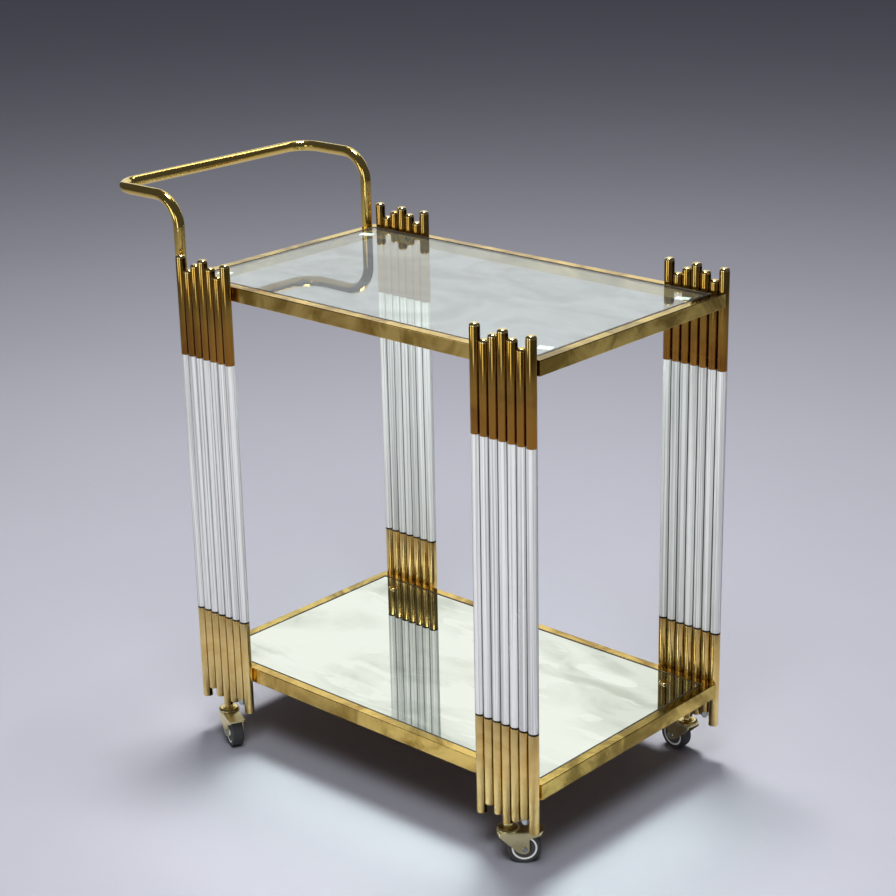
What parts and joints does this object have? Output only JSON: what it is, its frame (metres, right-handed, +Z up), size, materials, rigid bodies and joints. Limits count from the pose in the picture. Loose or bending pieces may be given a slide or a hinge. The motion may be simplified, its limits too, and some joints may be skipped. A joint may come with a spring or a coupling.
{
  "type": "bar cart",
  "caption": "Bar cart with a glass top, a mirror shelf, flat columns of gold and clear tubes, a bent tube handle and swivel casters.",
  "frame": {"origin": "on the floor, below the middle of the cart and its handle together", "axes": "+Z up, +X along the cart away from the handle, +Y across the cart"},
  "size_m": [0.902, 0.5224, 0.9205],
  "materials": {
    "frame_gold": "polished gold plate",
    "sleeve_gold": "polished gold plate",
    "handle_gold": "polished gold plate",
    "cap_gold": "polished gold plate",
    "caster_gold": "gold zinc plate, pressed sheet",
    "zinc": "bright zinc plate",
    "clear_acrylic": "clear, polished",
    "ring_dark": "dark glossy ring",
    "shelf_glass": "clear, slightly green",
    "mirror_glass": "silvered, slightly green, cloudy",
    "backing_wood": "dark board",
    "pad_white": "matt white",
    "plug_black": "moulded black",
    "core_white": "moulded white",
    "disc_grey": "moulded dark grey",
    "tyre_rubber": "smooth rubber"
  },
  "bodies": {
    "cart": {"top_rail_front": "frame_gold", "top_rail_back": "frame_gold", "top_rail_left": "frame_gold", "top_rail_right": "frame_gold", "lower_rail_front": "frame_gold", "lower_rail_back": "frame_gold", "lower_rail_left": "frame_gold", "lower_rail_right": "frame_gold", "top_ledge": "frame_gold", "lower_ledge": "frame_gold", "top_glass": "shelf_glass", "glass_pads": "pad_white", "mirror_panel": "mirror_glass", "backing_board": "backing_wood", "mirror_caps": "cap_gold", "handle": "handle_gold", "frame_screws": "zinc", "upper_sleeves_fr": "sleeve_gold", "upper_sleeves_fl": "sleeve_gold", "upper_sleeves_br": "sleeve_gold", "upper_sleeves_bl": "sleeve_gold", "clear_rods_fr": "clear_acrylic", "clear_rods_fl": "clear_acrylic", "clear_rods_br": "clear_acrylic", "clear_rods_bl": "clear_acrylic", "lower_sleeves_fr": "sleeve_gold", "lower_sleeves_fl": "sleeve_gold", "lower_sleeves_br": "sleeve_gold", "lower_sleeves_bl": "sleeve_gold", "dome_caps": "sleeve_gold", "seam_rings": "ring_dark", "end_plugs": "plug_black", "tie_rods": "zinc", "tie_nuts": "zinc", "stem_sockets": "zinc", "caster_stems": "zinc", "caster_nuts": "caster_gold", "race_plates": "caster_gold", "race_balls": "zinc"},
    "caster_front_right": {"fork_fr": "caster_gold", "axle_fr": "zinc"},
    "wheel_front_right": {"wheel_core_fr": "core_white", "hub_discs_fr": "disc_grey", "tyre_fr": "tyre_rubber"},
    "caster_front_left": {"fork_fl": "caster_gold", "axle_fl": "zinc"},
    "wheel_front_left": {"wheel_core_fl": "core_white", "hub_discs_fl": "disc_grey", "tyre_fl": "tyre_rubber"},
    "caster_back_right": {"fork_br": "caster_gold", "axle_br": "zinc"},
    "wheel_back_right": {"wheel_core_br": "core_white", "hub_discs_br": "disc_grey", "tyre_br": "tyre_rubber"},
    "caster_back_left": {"fork_bl": "caster_gold", "axle_bl": "zinc"},
    "wheel_back_left": {"wheel_core_bl": "core_white", "hub_discs_bl": "disc_grey", "tyre_bl": "tyre_rubber"}
  },
  "joints": [
    {"name": "swivel_front_right", "type": "hinge", "parent": "cart", "child": "caster_front_right", "pos_m": [0.3915, -0.226, 0.0525], "axis": [0, 0, 1], "continuous": true},
    {"name": "roll_front_right", "type": "hinge", "parent": "caster_front_right", "child": "wheel_front_right", "pos_m": [0.40922, -0.20982, 0.025], "axis": [-0.6743, 0.7385, 0], "continuous": true},
    {"name": "swivel_front_left", "type": "hinge", "parent": "cart", "child": "caster_front_left", "pos_m": [-0.2215, -0.226, 0.0525], "axis": [0, 0, 1], "continuous": true},
    {"name": "roll_front_left", "type": "hinge", "parent": "caster_front_left", "child": "wheel_front_left", "pos_m": [-0.19987, -0.23641, 0.025], "axis": [0.4337, 0.9011, 0], "continuous": true},
    {"name": "swivel_back_right", "type": "hinge", "parent": "cart", "child": "caster_back_right", "pos_m": [0.3915, 0.226, 0.0525], "axis": [0, 0, 1], "continuous": true},
    {"name": "roll_back_right", "type": "hinge", "parent": "caster_back_right", "child": "wheel_back_right", "pos_m": [0.36769, 0.22901, 0.025], "axis": [-0.1253, -0.9921, 0], "continuous": true},
    {"name": "swivel_back_left", "type": "hinge", "parent": "cart", "child": "caster_back_left", "pos_m": [-0.2215, 0.226, 0.0525], "axis": [0, 0, 1], "continuous": true},
    {"name": "roll_back_left", "type": "hinge", "parent": "caster_back_left", "child": "wheel_back_left", "pos_m": [-0.19987, 0.23641, 0.025], "axis": [-0.4337, 0.9011, 0], "continuous": true}
  ]
}
